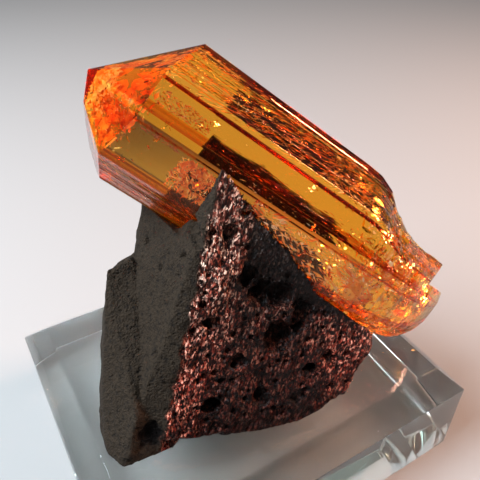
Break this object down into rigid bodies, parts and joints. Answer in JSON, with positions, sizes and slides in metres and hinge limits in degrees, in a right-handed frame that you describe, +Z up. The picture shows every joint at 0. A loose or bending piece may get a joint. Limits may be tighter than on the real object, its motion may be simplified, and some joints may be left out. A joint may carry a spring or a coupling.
{
  "type": "topaz crystal specimen",
  "caption": "Orange striated topaz prism with a faceted termination, lying in a trough on a dark pitted volcanic rock that stands on a clear bevelled display block.",
  "frame": {"origin": "centre of the block's underside", "axes": "+Z up, +X along the block's long side, +Y towards its back"},
  "size_m": [0.0817, 0.065, 0.0895],
  "materials": {
    "acrylic": "clear polished acrylic with a polished 45 degree bevel",
    "rock": "rough dark vesicular volcanic rock with a bronze glitter on the broken front face",
    "topaz": "clear orange topaz, smooth on the termination and finely striated along the prism"
  },
  "bodies": {
    "root": {"acrylic_block": "acrylic", "lava_rock": "rock", "topaz_crystal": "topaz"}
  },
  "joints": []
}
